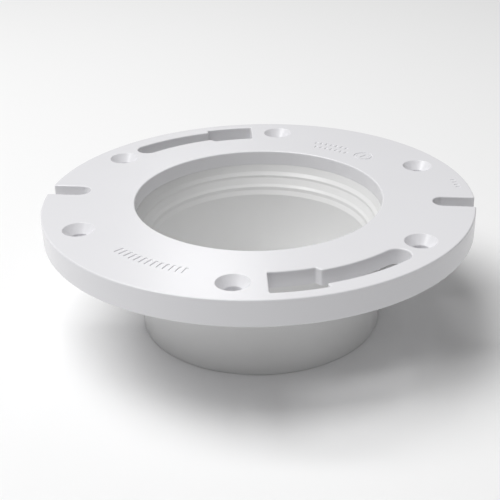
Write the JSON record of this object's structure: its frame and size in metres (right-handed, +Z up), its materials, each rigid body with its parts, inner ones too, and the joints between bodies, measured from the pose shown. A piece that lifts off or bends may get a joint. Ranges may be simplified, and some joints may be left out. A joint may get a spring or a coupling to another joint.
{
  "type": "toilet flange",
  "caption": "Round plastic closet flange: flat ring with stepped closet-bolt slots, countersunk screw holes and open side slots, on a short stepped hub.",
  "frame": {"origin": "centre of the hub's bottom edge, the surface that the loose flange stands on", "axes": "+Z up along the drain axis and out of the top face, +X along the two open side slots, +Y across them"},
  "size_m": [0.1774, 0.1778, 0.0553],
  "materials": {
    "ring_plastic": "glossy white moulded PVC",
    "hub_plastic": "glossy white moulded PVC"
  },
  "bodies": {
    "root": {"flange_ring": "ring_plastic", "hub": "hub_plastic"}
  },
  "joints": []
}
